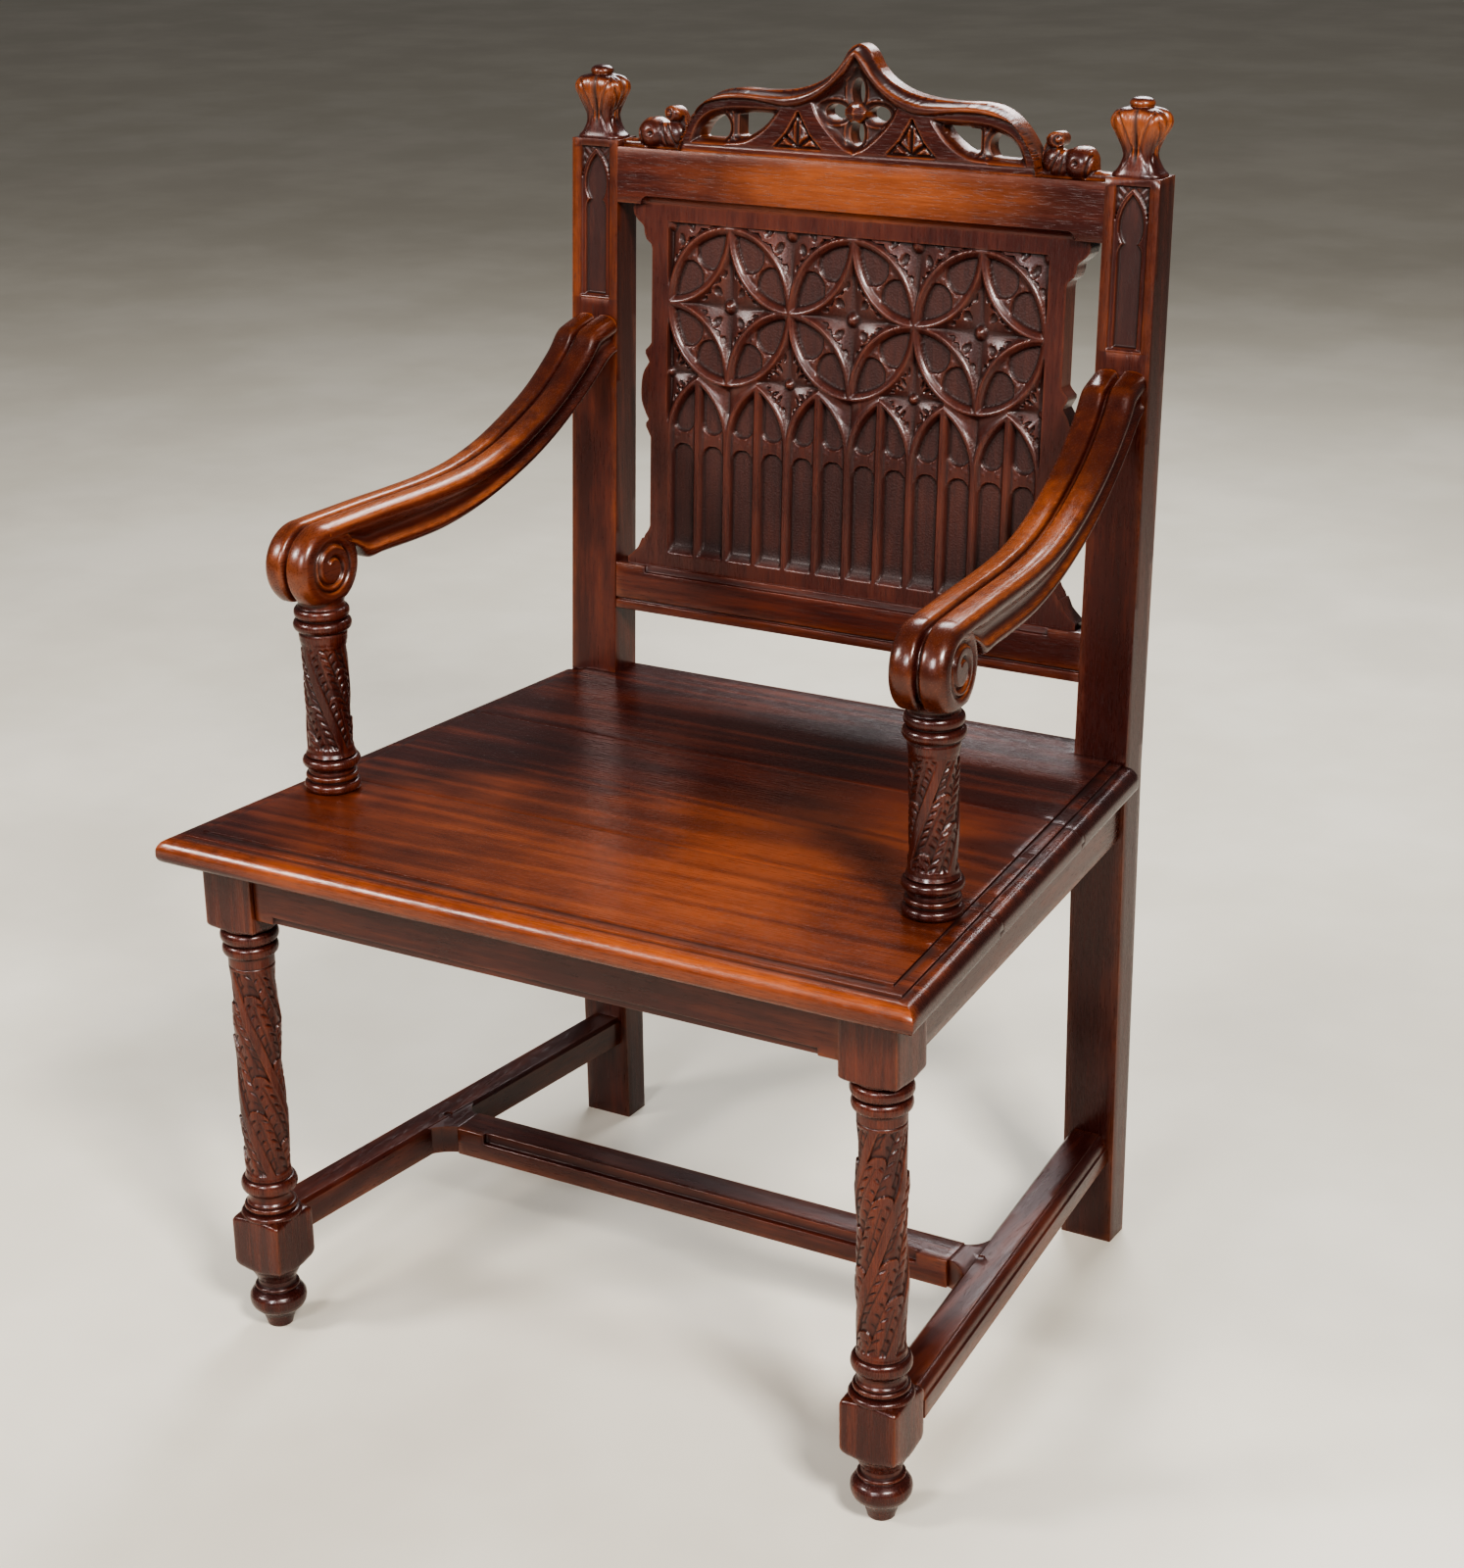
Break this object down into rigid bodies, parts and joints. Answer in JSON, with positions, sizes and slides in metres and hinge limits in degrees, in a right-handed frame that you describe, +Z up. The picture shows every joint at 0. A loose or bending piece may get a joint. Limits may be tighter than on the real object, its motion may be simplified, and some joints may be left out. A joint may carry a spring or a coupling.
{
  "type": "carved armchair",
  "caption": "Gothic Revival wooden armchair with a carved tracery back, pierced crest, scrolled arms on turned supports, turned front legs and stretchers.",
  "frame": {"origin": "on the floor under the middle of the chair's overall width and depth", "axes": "+Z up, -Y towards the front of the chair, +X towards the right as seen from the front"},
  "size_m": [0.669, 0.5678, 1.0126],
  "materials": {
    "frame_wood": "dark stained and waxed hardwood, semi-gloss",
    "carved_wood": "dark stained carved hardwood, near black in the recesses",
    "arm_wood": "dark stained hardwood polished and worn by hands",
    "seat_wood": "dark stained and waxed hardwood boards, semi-gloss",
    "inner_wood": "plain unpolished hardwood",
    "nail_iron": "dark iron, dull"
  },
  "bodies": {
    "root": {"rear_post_left": "frame_wood", "rear_post_right": "frame_wood", "post_finial_left": "carved_wood", "post_finial_right": "carved_wood", "finial_dowels": "inner_wood", "top_back_rail": "frame_wood", "lower_back_rail": "frame_wood", "back_panel": "carved_wood", "crest": "carved_wood", "crest_scroll_left": "carved_wood", "crest_scroll_right": "carved_wood", "crest_dowels": "inner_wood", "arm_left": "arm_wood", "arm_right": "arm_wood", "arm_nails": "nail_iron", "arm_support_left": "carved_wood", "arm_support_right": "carved_wood", "seat_board_front": "seat_wood", "seat_board_middle": "seat_wood", "seat_board_rear": "seat_wood", "front_seat_rail": "frame_wood", "rear_seat_rail": "frame_wood", "side_seat_rail_left": "frame_wood", "side_seat_rail_right": "frame_wood", "corner_block_front_left": "inner_wood", "corner_block_front_right": "inner_wood", "corner_block_rear_left": "inner_wood", "corner_block_rear_right": "inner_wood", "front_leg_left": "carved_wood", "front_leg_right": "carved_wood", "side_stretcher_left": "frame_wood", "side_stretcher_right": "frame_wood", "cross_stretcher": "frame_wood", "stretcher_pegs": "inner_wood"}
  },
  "joints": []
}
